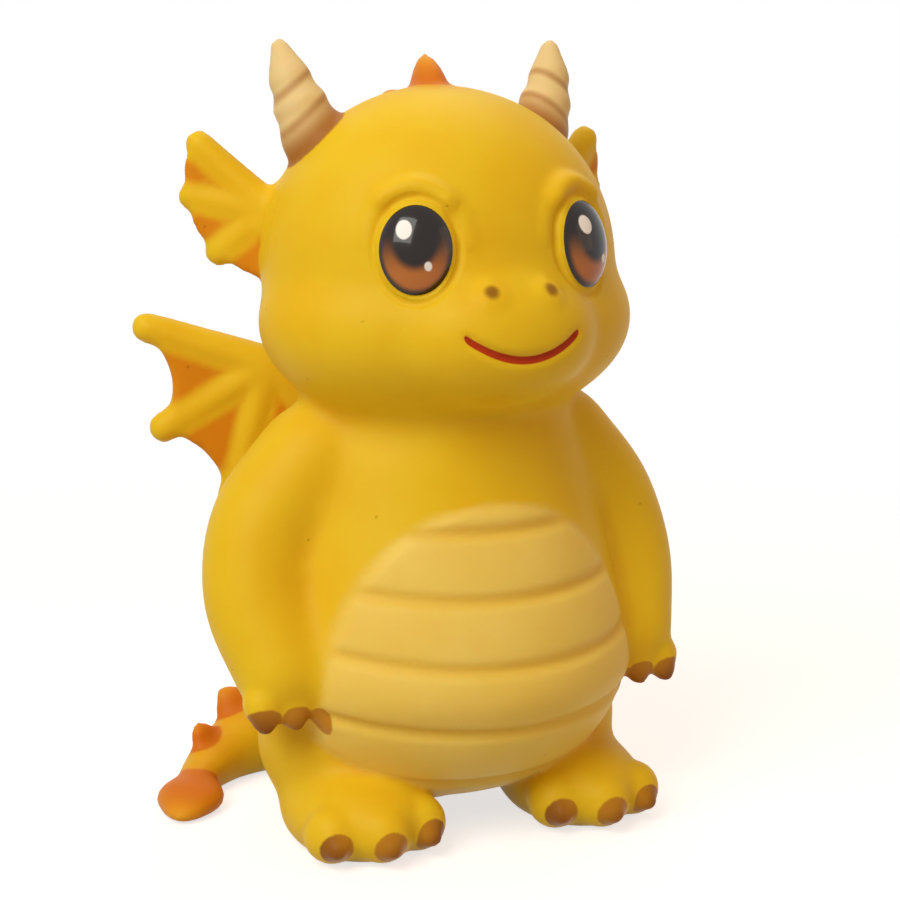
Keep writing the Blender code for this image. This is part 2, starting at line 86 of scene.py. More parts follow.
FOOT_SPREAD = 18.5 * MM
FOOT_HALF_WIDTH = 11 * MM
FOOT_HALF_LENGTH = 14.5 * MM
FOOT_HALF_HEIGHT = 7.5 * MM
FOOT_LEAN = 9 * MM
SOLE_SQUASH = 2.4 * MM
TAIL_ROOT_RADIUS = 12 * MM
TAIL_TIP_RADIUS = 2.8 * MM
TAIL_SIDE_REACH = 37 * MM
TAIL_BACK_REACH = 8 * MM
TAIL_SQUASH = 0.8 * MM
CORE_CELL = 1.0 * MM
CORE_PASSES = 22

MUZZLE = Vector((0, -MUZZLE_REACH, SKULL_HEIGHT - MUZZLE_DROP))
THROAT_HEIGHT = SKULL_HEIGHT - 0.9 * SKULL_HALF_HEIGHT


def smooth_run(stations, steps):
    """Points of a Catmull-Rom curve through stations, which are vectors of any one size."""
    knots = [Vector(station) for station in stations]
    knots = [2 * knots[0] - knots[1], *knots, 2 * knots[-1] - knots[-2]]
    run = []
    for before, start, end, after in zip(knots, knots[1:], knots[2:], knots[3:]):
        for step in range(steps):
            t = step / steps
            bend = 2 * before - 5 * start + 4 * end - after
            twist = 3 * start - before - 3 * end + after
            run.append(0.5 * (2 * start + (end - before) * t + bend * t**2 + twist * t**3))
    return [*run, knots[-2]]


def turned_to(outward, upward):
    """A rotation whose Z axis is outward and whose Y axis is as near to upward as it can be."""
    z = Vector(outward).normalized()
    x = Vector(upward).cross(z).normalized()
    return Matrix((x, z.cross(x), z)).transposed()


def add_ball(form, centre, radii, turn=Matrix.Identity(3)):
    """An ellipsoid whose own axes are turned by a rotation."""
    place = Matrix.Translation(centre) @ turn.to_4x4() @ Matrix.Diagonal((*radii, 1.0))
    return bmesh.ops.create_icosphere(form, subdivisions=5, radius=1.0, matrix=place)["verts"]


def add_skin(form, rings, sides=48):
    """A closed skin over a run of rings, each a matrix that places a unit circle."""
    loops = []
    for ring in rings:
        circle = bmesh.ops.create_circle(form, segments=sides, radius=1.0, matrix=ring)["verts"]
        loops.append(list({edge for vertex in circle for edge in vertex.link_edges}))
    for near, far in zip(loops, loops[1:]):
        bmesh.ops.bridge_loops(form, edges=near + far)
    for end in (loops[0], loops[-1]):
        bmesh.ops.edgenet_fill(form, edges=end)


def add_limb(form, stations, steps=8):
    """A round-ended limb along a curve; each station is its x, y, z and radius."""
    run = smooth_run(stations, steps)
    points = [station.to_3d() for station in run]
    rings = []
    for i, (point, station) in enumerate(zip(points, run)):
        along = points[min(i + 1, len(points) - 1)] - points[max(i - 1, 0)]
        turn = along.to_track_quat("Z", "Y").to_matrix().to_4x4()
        rings.append(Matrix.Translation(point) @ turn @ Matrix.Diagonal((station[3], station[3], 1, 1)))
    add_skin(form, rings)
    for end in (run[0], run[-1]):
        add_ball(form, end.to_3d(), [end[3]] * 3)


def fused(form, name, cell, passes):
    """The mesh that a form's overlapping shapes make when they are grown into one skin and smoothed."""
    mesh = bpy.data.meshes.new(name)
    bmesh.ops.recalc_face_normals(form, faces=form.faces)
    form.to_mesh(mesh)
    form.free()
    lump = bpy.data.objects.new(name, mesh)
    bpy.context.scene.collection.objects.link(lump)
    remesh = lump.modifiers.new("one skin", "REMESH")
    remesh.mode = "VOXEL"
    remesh.voxel_size = cell
    remesh.adaptivity = 0
    smooth = lump.modifiers.new("soft edges", "SMOOTH")
    smooth.factor = 0.5
    smooth.iterations = passes
    graph = bpy.context.evaluated_depsgraph_get()
    skin = bpy.data.meshes.new_from_object(lump.evaluated_get(graph))
    bpy.data.objects.remove(lump)
    bpy.data.meshes.remove(mesh)
    return skin


def surface_of(mesh):
    """A tree that finds where a line meets the skin, and the nearest place on it."""
    form = bmesh.new()
    form.from_mesh(mesh)
    tree = BVHTree.FromBMesh(form)
    form.free()
    return tree


def torso_rings():
    """A bowl from the crotch to the hips, then a smooth line over the chest into the head."""
    stations = []
    for degrees in (25, 42, 58, 74):
        height = HIP_HEIGHT - (HIP_HEIGHT - CROTCH_HEIGHT) * math.cos(math.radians(degrees))
        swell = math.sin(math.radians(degrees))
        stations.append((height, HIP_HALF_WIDTH * swell, HIP_HALF_DEPTH * swell, -BELLY_LEAN * swell))
    throat_half_depth = THROAT_HALF_WIDTH * CHEST_HALF_DEPTH / CHEST_HALF_WIDTH
    stations += [
        (HIP_HEIGHT, HIP_HALF_WIDTH, HIP_HALF_DEPTH, -BELLY_LEAN),
        (CHEST_HEIGHT, CHEST_HALF_WIDTH, CHEST_HALF_DEPTH, 0),
        (THROAT_HEIGHT, THROAT_HALF_WIDTH, throat_half_depth, 0),
        (SKULL_HEIGHT, 0.5 * THROAT_HALF_WIDTH, 0.5 * throat_half_depth, 0),
    ]
    rings = []
    for height, half_width, half_depth, y in smooth_run(stations, 6):
        rings.append(Matrix.Translation((0, y, height)) @ Matrix.Diagonal((half_width, half_depth, 1, 1)))
    return rings


def arm_stations(side):
    """Shoulder, upper arm, elbow and hand."""
    outside = side * (CHEST_HALF_WIDTH - 0.5 * SHOULDER_RADIUS)
    shoulder = Vector((outside, 0, CHEST_HEIGHT + 0.75 * SHOULDER_RADIUS))
    elbow = side * (HIP_HALF_WIDTH + ARM_CLEAR_OF_HIP)
    return (
        (*shoulder, SHOULDER_RADIUS),
        (0.93 * elbow, 0, shoulder.z - 0.32 * ARM_DROP, 0.5 * (SHOULDER_RADIUS + ELBOW_RADIUS)),
        (1.01 * elbow, -0.35 * HAND_LEAN, shoulder.z - 0.66 * ARM_DROP, ELBOW_RADIUS),
        (0.96 * elbow, -HAND_LEAN, shoulder.z - ARM_DROP, HAND_RADIUS),
    )


def foot_centre(side):
    return Vector((side * FOOT_SPREAD, -FOOT_LEAN, FOOT_HALF_HEIGHT - SOLE_SQUASH))


def tail_stations():
    """The tail leaves the back between the hips, lies on the ground and curls to the right."""
    behind = HIP_HALF_DEPTH - BELLY_LEAN
    route = (
        (0.0, behind - 0.5 * TAIL_ROOT_RADIUS, 1.0),
        (-0.13 * TAIL_SIDE_REACH, behind + 0.45 * TAIL_BACK_REACH, 0.72),
        (-0.4 * TAIL_SIDE_REACH, behind + TAIL_BACK_REACH, 0.48),
        (-0.68 * TAIL_SIDE_REACH, behind + 0.75 * TAIL_BACK_REACH, 0.28),
        (-0.89 * TAIL_SIDE_REACH, behind - 0.1 * TAIL_BACK_REACH, 0.1),
        (-TAIL_SIDE_REACH, behind - TAIL_BACK_REACH, 0.0),
    )
    radii = [TAIL_TIP_RADIUS + (TAIL_ROOT_RADIUS - TAIL_TIP_RADIUS) * share for *_, share in route]
    return [(x, y, radius - TAIL_SQUASH, radius) for (x, y, _), radius in zip(route, radii)]


masses = bmesh.new()
add_skin(masses, torso_rings(), sides=96)
add_ball(masses, (0, 0, SKULL_HEIGHT), (SKULL_HALF_WIDTH, SKULL_HALF_DEPTH, SKULL_HALF_HEIGHT))
add_ball(masses, (0, -JAW_LEAN, SKULL_HEIGHT - JAW_DROP), (JAW_HALF_WIDTH, JAW_HALF_DEPTH, JAW_HALF_HEIGHT))
add_ball(masses, MUZZLE, (MUZZLE_HALF_WIDTH, MUZZLE_HALF_DEPTH, MUZZLE_HALF_HEIGHT))
for side in SIDES:
    add_limb(masses, arm_stations(side))
    add_ball(masses, (side * 0.91 * FOOT_SPREAD, 0, 1.08 * THIGH_RADIUS), [THIGH_RADIUS] * 3)
    add_ball(masses, foot_centre(side), (FOOT_HALF_WIDTH, FOOT_HALF_LENGTH, FOOT_HALF_HEIGHT))
add_limb(masses, tail_stations())
core_mesh = fused(masses, "core", CORE_CELL, CORE_PASSES)
core = surface_of(core_mesh)
bare_torso = bmesh.new()
add_skin(bare_torso, torso_rings(), sides=96)
bmesh.ops.recalc_face_normals(bare_torso, faces=bare_torso.faces)
torso = BVHTree.FromBMesh(bare_torso)
bare_torso.free()

# The face stands out of the casting: two domed oval eyes turned a little outwards, a brow over each, and
# two bumps with nostrils on the muzzle. All of it is foam, so every corner is round.
EYE_HALF_WIDTH = 5.4 * MM
EYE_HALF_HEIGHT = 6.6 * MM
EYE_BULGE = 2.4 * MM
EYE_BALL_DEPTH = 3.6 * MM
EYE_TURN = math.radians(32)
EYE_RISE = math.radians(8)
BROW_RADIUS = 2 * MM
NOSE_BUMP_RADIUS = 2.6 * MM
NOSTRIL_SPREAD = 4.6 * MM
EYE_SEEN_SHARE = math.sqrt(1 - (1 - EYE_BULGE / EYE_BALL_DEPTH) ** 2)
EYE_BALL = (EYE_HALF_WIDTH / EYE_SEEN_SHARE, EYE_HALF_HEIGHT / EYE_SEEN_SHARE, EYE_BALL_DEPTH)


def met_from_outside(through, outward):
    """Where a line that comes in against outward meets the core, and the core's normal there."""
    far = 2 * SKULL_HEIGHT
    outward = Vector(outward).normalized()
    point, normal, _, _ = core.ray_cast(Vector(through) + outward * far, -outward)
    return point, normal


def eye_place(side):
    """The middle of an eye's outline, the normal there and the eye's own axes."""
    outward = (side * math.sin(EYE_TURN), -math.cos(EYE_TURN), math.tan(EYE_RISE))
    seat, normal = met_from_outside((0, 0, SKULL_HEIGHT), outward)
    return seat, normal, turned_to(normal, UP)


eyes = [eye_place(side) for side in SIDES]
nostrils = []
face = bmesh.new()
for side, (seat, normal, turn) in zip(SIDES, eyes):
    add_ball(face, seat + normal * (EYE_BULGE - EYE_BALL_DEPTH), EYE_BALL, turn)
    brow = []
    for swing, lift in ((-0.75, 1.02), (0, 1.34), (0.85, 1.14)):
        spot = seat + turn @ Vector((side * swing * EYE_HALF_WIDTH, lift * EYE_HALF_HEIGHT, 0))
        point, lean = met_from_outside(spot - normal * SKULL_HALF_DEPTH / 2, normal)
        brow.append((*(point - lean * 0.4 * BROW_RADIUS), BROW_RADIUS))
    add_limb(face, brow)
    nostril, lean = met_from_outside((side * NOSTRIL_SPREAD, MUZZLE.y, MUZZLE.z), (0, -0.8, 0.6))
    add_ball(face, nostril - lean * 0.45 * NOSE_BUMP_RADIUS, [NOSE_BUMP_RADIUS] * 3)
    nostrils.append(nostril)

# Toes, fingers and claws: three stubby toes to a foot and three fingers to a hand, each ending in a short
# blunt claw that is part of the casting and gets brown paint.
FINGER_RADIUS = 3.2 * MM
TOE_RADIUS = 4.4 * MM
CLAW_RADIUS = 2.1 * MM
CLAW_LENGTH = 2.4 * MM
TIP_TAPER = 0.35


def add_tooth(form, root, radii, turn, bend=0.0):
    """An ellipsoid that narrows towards the outer end of its Z axis, and bends there along its Y axis."""
    for vertex in add_ball(form, root, radii, turn):
        ahead = (vertex.co - root).dot(turn.col[2])
        share = max(ahead / radii[2], 0)
        middle = root + turn.col[2] * ahead
        vertex.co = middle + (vertex.co - middle) * (1 - TIP_TAPER * share) + turn.col[1] * bend * share**2


def add_digit(digits, claws, tip, radius, pointing):
    """A stubby finger or toe and, in a form of its own, the small claw at its end."""
    pointing = Vector(pointing).normalized()
    add_ball(digits, tip, [radius] * 3)
    claw = tip + pointing * 0.8 * radius
    add_tooth(claws, claw, (CLAW_RADIUS, CLAW_RADIUS, CLAW_LENGTH), turned_to(pointing, UP))


digits = bmesh.new()
claws = bmesh.new()
for side in SIDES:
    foot = foot_centre(side)
    hand = Vector(arm_stations(side)[-1][:3])
    for spread in (-0.62, 0, 0.62):
        forward = (0.76 - 0.3 * abs(spread)) * FOOT_HALF_LENGTH
        toe = foot + Vector((spread * FOOT_HALF_WIDTH, -forward, -0.1 * TOE_RADIUS))
        add_digit(digits, claws, toe, TOE_RADIUS, (0.3 * spread, -1, -0.3))
        finger = hand + HAND_RADIUS * Vector((spread - 0.1 * side, -0.4, -0.55))
        add_digit(digits, claws, finger, FINGER_RADIUS, (0.2 * spread, -0.6, -0.9))

# Horns: two short blunt horns of the same foam, ringed twice, that lean out and back from the crown.
HORN_SPREAD = 11.5 * MM
HORN_RADIUS = 5 * MM
HORN_LENGTH = 14.5 * MM
HORN_PROFILE = (
    (-0.3, 1.0), (0.06, 1.0), (0.26, 0.8), (0.35, 0.87), (0.55, 0.63), (0.64, 0.68), (0.96, 0.32))
horns = bmesh.new()
for side in SIDES:
    root, _ = met_from_outside((side * HORN_SPREAD, 0, SKULL_HEIGHT), (side * 0.38, 0.2, 1))
    lean = Vector((side * 0.3, 0.28, 1)).normalized()
    stations = []
    for share, swell in HORN_PROFILE:
        bow = Vector((side * 0.14, -0.12, 0)) * HORN_LENGTH * share * (1 - share)
        stations.append((*(root + lean * HORN_LENGTH * share + bow), HORN_RADIUS * swell))
    add_limb(horns, stations, steps=4)

# Ear fins and wings: thick scalloped webs with a rounded ridge along each rib. The webs are sprayed amber
# and the ridges stay yellow.
EAR_SPAN = 13.5 * MM
EAR_THICKNESS = 3.6 * MM
WING_SPREAD = 10 * MM
WING_SPAN = 31 * MM
WING_THICKNESS = 4 * MM


def arc_between(start, end, sag, steps=8):
    """Points from start up to but without end, along a shallow arc that bows by sag to the right."""
    start, end = Vector(start), Vector(end)
    across = Vector((end.y - start.y, start.x - end.x)).normalized()
    return [start.lerp(end, i / steps) + across * sag * math.sin(math.pi * i / steps) for i in range(steps)]


def add_web(web, ribs, placed, thickness, roots, knuckle, tips, sag):
    """A scalloped web and, in a form of their own, its ribs. Its outline is in shares of its span."""
    root_high, root_low = roots
    outline = [*arc_between(root_high, knuckle, -0.4 * sag), *arc_between(knuckle, tips[0], -0.6 * sag)]
    for tip, following in zip(tips, [*tips[1:], root_low]):
        outline += arc_between(tip, following, sag)
    outline.append(Vector(root_low))
    under, over = (placed((0, 0), side * thickness / 2) for side in SIDES)
    flat = web.faces.new([web.verts.new(placed(spot, -thickness / 2)) for spot in outline])
    grown = bmesh.ops.extrude_face_region(web, geom=[flat])["geom"]
    raised = [part for part in grown if isinstance(part, bmesh.types.BMVert)]
    bmesh.ops.translate(web, vec=over - under, verts=raised)
    add_limb(ribs, [(*placed(root_high), 0.8 * thickness), (*placed(knuckle), 0.74 * thickness)])
    for tip in tips:
        add_limb(ribs, [(*placed(knuckle), 0.74 * thickness), (*placed(tip), 0.6 * thickness)])


def web_place(root, outward, upward, span):
    """A function that turns a spot on a web, in shares of its span, into a point of the figure."""
    outward = Vector(outward).normalized()
    turn = turned_to(outward.cross(upward), upward)

    def placed(spot, off=0.0):
        across, along = (share * span for share in spot)
        return root + outward * across + turn.col[1] * along + turn.col[2] * off

    return placed


webs = bmesh.new()
ribs = bmesh.new()
for side in SIDES:
    through = (0, 0.28 * SKULL_HALF_DEPTH, SKULL_HEIGHT + 0.08 * SKULL_HALF_HEIGHT)
    root, normal = met_from_outside(through, (side, 0.12, 0.12))
    placed = web_place(root - normal * 0.2 * EAR_SPAN, (side, 0.55, 0.3), UP, EAR_SPAN)
    add_web(webs, ribs, placed, EAR_THICKNESS, roots=((-0.1, 0.42), (-0.1, -0.48)), knuckle=(0.12, 0.2),
            tips=((0.95, 0.72), (1.05, 0.12), (0.74, -0.42)), sag=-0.12)
    root, _ = met_from_outside((side * WING_SPREAD, 0, CHEST_HEIGHT + 0.4 * SHOULDER_RADIUS), (0, 1, 0))
    placed = web_place(root, (side, 0.3, 0.2), UP, WING_SPAN)
    add_web(webs, ribs, placed, WING_THICKNESS, roots=((-0.2, 0.06), (-0.2, -0.4)), knuckle=(0.36, 0.42),
            tips=((0.98, 0.5), (0.9, 0.0), (0.56, -0.34)), sag=0.09)

# Crest: a row of rounded plates from the brow over the crown, down the back and out along the tail, which
# ends in a blunt leaf. They are sprayed orange after the yellow.
PLATE_HEIGHT = 7 * MM
PLATE_LENGTH = 12 * MM
PLATE_THICKNESS = 7 * MM
TAIL_SPADE_LENGTH = 7.5 * MM
TAIL_SPADE_HALF_WIDTH = 5.4 * MM
HEAD_PLATES = ((8, 0.75), (37, 0.95), (66, 0.95), (94, 0.85))
BACK_PLATES = ((0.88, 0.95), (0.68, 1.05), (0.47, 1.08), (0.27, 1.0))
TAIL_PLATES = ((0, 0.75, 0.86), (1, 0.85, 0.76), (2, 0.8, 0.64), (3, 0.7, 0.52))


def add_plate(form, root, outward, along, size):
    """A rounded fin that stands on the skin and leans back a little; its foot is sunk in the skin."""
    radii = size * Vector((PLATE_THICKNESS / 2, PLATE_LENGTH / 2, PLATE_HEIGHT))
    add_tooth(form, root, radii, turned_to(outward, along), bend=0.18 * size * PLATE_HEIGHT)


crest = bmesh.new()
for degrees, size in HEAD_PLATES:
    angle = math.radians(degrees)
    outward = Vector((0, math.sin(angle), math.cos(angle)))
    root, normal = met_from_outside((0, 0, SKULL_HEIGHT), outward)
    add_plate(crest, root, normal, (0, math.cos(angle), -math.sin(angle)), size)
for share, size in BACK_PLATES:
    root, normal = met_from_outside((0, 0, share * THROAT_HEIGHT), (0, 1, 0.12))
    add_plate(crest, root, normal, -UP, size)
tail_run = [Vector(station[:3]) for station in tail_stations()]
for near, share, size in TAIL_PLATES:
    start, end = tail_run[near], tail_run[near + 1]
    root, normal = met_from_outside(start.lerp(end, share), (0, 0.5, 1))
    add_plate(crest, root, normal, end - start, size)
leaf_radii = (TAIL_SPADE_HALF_WIDTH, TAIL_TIP_RADIUS, TAIL_SPADE_LENGTH)
add_tooth(crest, tail_run[-1], leaf_radii, turned_to(tail_run[-1] - tail_run[-2], UP))

# The casting: everything above in one skin of foam. The mould presses the smile, the nostrils, the rims of
# the eyes and the belly's folds into it, and its own weight flattens the soles and the tail's underside.
SKIN_CELL = 0.72 * MM
SKIN_PASSES = 6
SMILE_DROP = 2.8 * MM
SMILE_HALF_WIDTH = 8.5 * MM
SMILE_LIFT = 3 * MM
SMILE_GROOVE_WIDTH = 1.2 * MM
SMILE_GROOVE_DEPTH = 0.9 * MM
NOSTRIL_RADIUS = 1.3 * MM
NOSTRIL_DEPTH = 1.3 * MM
EYE_RIM_WIDTH = 0.8 * MM
EYE_RIM_DEPTH = 0.4 * MM
EYELID_WIDTH = 1.8 * MM
EYELID_RISE = 0.5 * MM
EYE_PAINT_THICKNESS = 0.12 * MM
PANEL_BELOW_CHIN = 10.5 * MM
PANEL_LOW = 0.8 * CROTCH_HEIGHT
PANEL_HIGH = THROAT_HEIGHT - PANEL_BELOW_CHIN
PANEL_HALF_WIDTH = 29 * MM
PANEL_TAPER = 0.25
PANEL_SQUARENESS = 2.3
PANEL_RISE = 0.6 * MM
PANEL_EDGE_WIDTH = 2 * MM
LIMB_STEP = 1 * MM
FOLD_PITCH = 9.5 * MM
FOLD_WIDTH = 1.5 * MM
FOLD_DEPTH = 0.8 * MM
FOLD_SAG = 3 * MM
SCUTE_CROWN = 0.3 * MM
LUMP_SPACING = 14 * MM
LUMP_HEIGHT = 0.18 * MM
SOLE_ROUNDING = 0.4 * MM
FIELD_REACH = 8 * MM
HOLLOW_PASSES = 50
RIM_BAND = (0.8, 1.5)
RIM_CUTS = 2
RIM_PASSES = 4
DOME_HOLD = (1.04, 0.96)


def ridge(distance, width):
    """1 at no distance, falling smoothly to 0 at width."""
    return 0.5 * (1 + math.cos(math.pi * min(abs(distance) / width, 1)))


def eased_step(value, start, end):
    """0 up to start and 1 from end, smooth between; start may be the larger."""
    share = min(max((value - start) / (end - start), 0), 1)
    return share * share * (3 - 2 * share)


def panel_half_width(z):
    """Half the belly panel's width at a height: round at both ends and narrower towards the chin."""
    share = min(max((z - PANEL_LOW) / (PANEL_HIGH - PANEL_LOW), 0), 1)
    roundness = (1 - abs(2 * share - 1) ** PANEL_SQUARENESS) ** (1 / PANEL_SQUARENESS)
    return PANEL_HALF_WIDTH * (1 - PANEL_TAPER * share) * roundness


def panel_edge(x, z):
    """How far inside the belly panel's outline a point of the front is, and negative outside it."""
    slope = (panel_half_width(z + MM) - panel_half_width(z - MM)) / (2 * MM)
    across = (panel_half_width(z) - abs(x)) / math.hypot(1, slope)
    return min(across, z - PANEL_LOW, PANEL_HIGH - z)


def stands_out_of(skin, place):
    """How far a place stands out of a skin, and negative inside it."""
    nearest, normal, _, distance = skin.find_nearest(place)
    return math.copysign(distance, (place - nearest).dot(normal))


def panel_depth(place):
    """How far inside the belly panel a place is. The panel also ends where a limb leaves the torso."""
    off_limb = 1 - stands_out_of(torso, place) / LIMB_STEP
    return min(panel_edge(place.x, place.z), off_limb * PANEL_EDGE_WIDTH)


def off_fold(x, z):
    """How far a point of the belly is from the middle of the nearest fold."""
    level = z - CROTCH_HEIGHT + FOLD_SAG * (1 - (x / PANEL_HALF_WIDTH) ** 2)
    return abs((level + FOLD_PITCH / 2) % FOLD_PITCH - FOLD_PITCH / 2)


def belly_relief(place):
    """How far the belly stands out: the panel's rise, a soft crown on each scute, and the folds between."""
    inside = eased_step(panel_depth(place), 0, PANEL_EDGE_WIDTH)
    away = off_fold(place.x, place.z)
    crown = SCUTE_CROWN * math.sin(math.pi * away / FOLD_PITCH)
    return inside * (PANEL_RISE + crown - FOLD_DEPTH * ridge(away, FOLD_WIDTH))


def smile_relief(place):
    """The smile's groove across the front of the muzzle."""
    if place.y > MUZZLE.y:
        return 0.0
    line = MUZZLE.z - SMILE_DROP + SMILE_LIFT * (place.x / SMILE_HALF_WIDTH) ** 2
    past_end = max(abs(place.x) - SMILE_HALF_WIDTH, 0)
    return -SMILE_GROOVE_DEPTH * ridge(math.hypot(place.z - line, past_end), SMILE_GROOVE_WIDTH)


def in_eye_frame(place, seat, turn):
    """A place as an eye sees it: across and up the face, and its share of the way to the eye's outline."""
    across, up, off = turn.transposed() @ (place - seat)
    if abs(off) >= EYE_BALL_DEPTH:
        return across, up, math.inf
    return across, up, math.hypot(across / EYE_HALF_WIDTH, up / EYE_HALF_HEIGHT)


def eye_rim_relief(place, seat, turn):
    """The groove round an eye, and the lid over its upper half."""
    _, up, share = in_eye_frame(place, seat, turn)
    out = (share - 1) * EYE_HALF_WIDTH
    lid = max(up / EYE_HALF_HEIGHT / max(share, 1), 0) ** 0.5
    lift = EYELID_RISE * lid * ridge(out - 2 * EYE_RIM_WIDTH - EYELID_WIDTH / 2, EYELID_WIDTH)
    return lift - EYE_RIM_DEPTH * ridge(out - EYE_RIM_WIDTH, EYE_RIM_WIDTH)


def under_eye_paint(place, seat, turn):
    """The nearest place on an eye's dome, half the paint's thickness down, and how firmly it holds."""
    across, up, share = in_eye_frame(place, seat, turn)
    height = EYE_BALL_DEPTH * math.sqrt(max(1 - (share * EYE_SEEN_SHARE) ** 2, 0))
    dome = EYE_BULGE - EYE_BALL_DEPTH + height - EYE_PAINT_THICKNESS / 2
    return seat + turn @ Vector((across, up, dome)), eased_step(share, *DOME_HOLD)


def pressed(vertex):
    """Where the mould's relief and the foam's own lumps bring a vertex of the skin."""
    place = vertex.co.copy()
    move = smile_relief(place) + sum(eye_rim_relief(place, seat, turn) for seat, _, turn in eyes)
    for nostril in nostrils:
        move -= NOSTRIL_DEPTH * ridge((place - nostril).length, NOSTRIL_RADIUS + NOSTRIL_DEPTH)
    if faces_belly(vertex):
        move += belly_relief(place)
    move += LUMP_HEIGHT * noise.noise(place / LUMP_SPACING)
    moved = place + vertex.normal * move
    for seat, _, turn in eyes:
        dome, hold = under_eye_paint(place, seat, turn)
        moved = moved.lerp(dome, hold)
    return moved


def faces_belly(vertex):
    """Whether a vertex lies on the front of the torso, where the belly panel can be."""
    x, y, z = vertex.co
    in_reach = abs(x) < PANEL_HALF_WIDTH + FIELD_REACH and z < THROAT_HEIGHT
    in_front = y < 0 and vertex.normal.y < -0.15
    return in_reach and in_front and abs(stands_out_of(core, vertex.co)) < SKIN_CELL


def near(tree, place):
    """How far a place is from a detail's surface, in millimetres, up to a fixed reach."""
    found = tree.find_nearest(place, FIELD_REACH)[3]
    return (FIELD_REACH if found is None else found) / MM


def eased_places(mesh, passes):
    """Where a skin's vertices would lie if it were smoothed many times over."""
    lump = bpy.data.objects.new("eased", mesh)
    bpy.context.scene.collection.objects.link(lump)
    ease = lump.modifiers.new("ease", "SMOOTH")
    ease.factor = 0.5
    ease.iterations = passes
    eased = lump.evaluated_get(bpy.context.evaluated_depsgraph_get()).to_mesh()
    places = [vertex.co.copy() for vertex in eased.vertices]
    bpy.data.objects.remove(lump)
    return places


def on_eye_rim(vertex):
    """Whether a vertex lies where an eye's dome comes down to the face."""
    inner, outer = RIM_BAND
    return any(inner < in_eye_frame(vertex.co, seat, turn)[2] < outer for seat, _, turn in eyes)


details = {"face": face, "digit": digits, "claw": claws, "horn": horns}
details.update({"web": webs, "rib": ribs, "crest": crest})
whole = bmesh.new()
for form in details.values():
    bmesh.ops.recalc_face_normals(form, faces=form.faces)
    loose = bpy.data.meshes.new("loose")
    form.to_mesh(loose)
    whole.from_mesh(loose)
    bpy.data.meshes.remove(loose)
whole.from_mesh(core_mesh)
trees = {kind: BVHTree.FromBMesh(form) for kind, form in details.items()}
for form in details.values():
    form.free()
bpy.data.meshes.remove(core_mesh)
skin_mesh = fused(whole, "foam_dragon_casting", SKIN_CELL, SKIN_PASSES)

casting = bmesh.new()
casting.from_mesh(skin_mesh)
rim_edges = [edge for edge in casting.edges if all(on_eye_rim(vertex) for vertex in edge.verts)]
bmesh.ops.subdivide_edges(casting, edges=rim_edges, cuts=RIM_CUTS, use_grid_fill=True)
rims = [vertex for vertex in casting.verts if on_eye_rim(vertex)]
for _ in range(RIM_PASSES):
    bmesh.ops.smooth_vert(
        casting, verts=rims, factor=0.5, use_axis_x=True, use_axis_y=True, use_axis_z=True)
casting.normal_update()
painted = ("claw", "horn", "web", "rib", "crest")
fields = {name: [] for name in (*painted, "rise", "belly", "fold")}
places = []
for vertex in casting.verts:
    for kind in painted:
        fields[kind].append(near(trees[kind], vertex.co))
    fields["rise"].append(stands_out_of(core, vertex.co) / MM)
    front = faces_belly(vertex)
    fields["belly"].append(panel_depth(vertex.co) / MM if front else -FIELD_REACH / MM)
    fields["fold"].append(off_fold(vertex.co.x, vertex.co.z) / MM if front else FIELD_REACH / MM)
    places.append(pressed(vertex))
for vertex, place in zip(casting.verts, places):
    vertex.co = place
for vertex in casting.verts:
    vertex.co.z = 0.5 * (vertex.co.z + math.hypot(vertex.co.z, SOLE_ROUNDING))
cad_low, cad_high = (Vector(corner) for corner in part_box("foam_dragon"))
own_low = Vector([min(vertex.co[axis] for vertex in casting.verts) for axis in range(3)])
own_high = Vector([max(vertex.co[axis] for vertex in casting.verts) for axis in range(3)])
shift = (cad_low + cad_high - own_low - own_high) / 2
shift.z = -own_low.z
bmesh.ops.translate(casting, vec=shift, verts=casting.verts)
casting.to_mesh(skin_mesh)
casting.free()
hollows = zip(eased_places(skin_mesh, HOLLOW_PASSES), skin_mesh.vertices)
fields["hollow"] = [(place - vertex.co).dot(vertex.normal) / MM for place, vertex in hollows]
for name, values in fields.items():
    skin_mesh.attributes.new(name, "FLOAT", "POINT").data.foreach_set("value", values)
dragon = bpy.data.objects.new("foam_dragon_casting", skin_mesh)
bpy.context.scene.collection.objects.link(dragon)
skin_mesh.shade_smooth()
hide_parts("foam_dragon")
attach(dragon, "root")

# The paint: an even yellow coat over the foam, a cream belly, amber webs and an orange crest blown on with
# an airbrush through soft masks, and a smile, nostrils and claws put on by hand. Painted shade darkens every
# hollow towards amber, the belly's folds to a deeper cream and the grooves of the horns to brown.
# The skin has a faint orange peel, a few dark pinholes, a parting line at the sides and a faint grey patch
# on the right cheek. A coat's edge is two distances in millimetres: none of the coat up to the first and all
# of it from the second.
YELLOW = (0.86, 0.6, 0.018, 1)
YELLOW_DEEP = (0.84, 0.52, 0.01, 1)
AMBER = (0.74, 0.28, 0.005, 1)
ORANGE = (0.7, 0.2, 0.01, 1)
ORANGE_LIGHT = (0.84, 0.4, 0.02, 1)
CREAM = (0.93, 0.74, 0.19, 1)
CREAM_MOTTLE_AND_FOLD_SHADE = (0.86, 0.59, 0.08, 1)
HORN_CREAM = (0.83, 0.66, 0.32, 1)
HORN_BROWN = (0.42, 0.17, 0.03, 1)
CLAW_BROWN = (0.24, 0.075, 0.006, 1)
CLAW_LIGHT = (0.55, 0.25, 0.014, 1)
SMILE_RED = (0.52, 0.045, 0.006, 1)
PATCH_GREY = (0.45, 0.35, 0.29, 1)
GREY_PATCHES = (
    (Vector((-27.5, 4.5, 82)) * MM, 5),
    (Vector((-27, 3, 76)) * MM, 6),
    (Vector((-26, 1.5, 71)) * MM, 6),
)
PARTING_LINE_Y = 1 * MM
BELLY_EDGE = (-1.0, 1.2)
FOLD_SHADE_EDGE = (1.7, 0.1)
